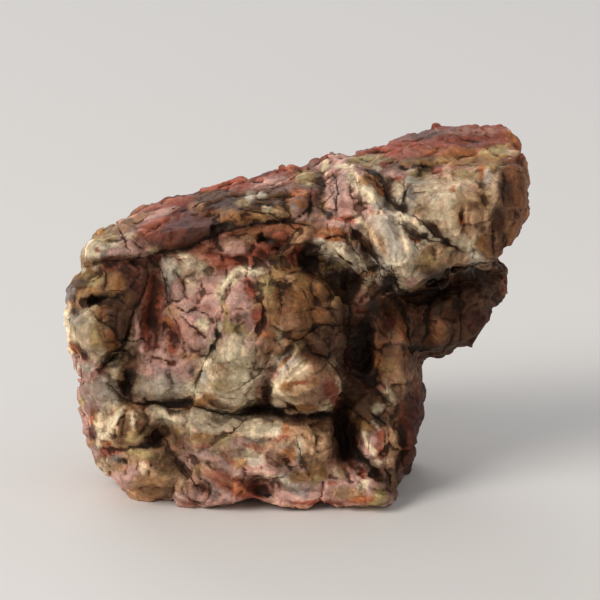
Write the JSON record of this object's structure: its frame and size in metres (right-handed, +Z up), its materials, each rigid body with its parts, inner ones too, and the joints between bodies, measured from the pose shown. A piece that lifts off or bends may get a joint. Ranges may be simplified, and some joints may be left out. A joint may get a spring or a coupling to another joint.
{
  "type": "quartz flower stone",
  "caption": "Natural lump of waxy red and cream quartz with rounded lobes, ledges and dark crevices, standing on a flat-worn foot.",
  "frame": {"origin": "centre of the overall footprint, at the level of the flat foot", "axes": "+X along the stone's longest way, towards the overhanging head; +Y through the stone away from its best side; +Z up"},
  "size_m": [0.117, 0.068, 0.088],
  "materials": {
    "flower_quartz": "waxy, semi-gloss"
  },
  "bodies": {
    "root": {"flower_stone": "flower_quartz"}
  },
  "joints": []
}
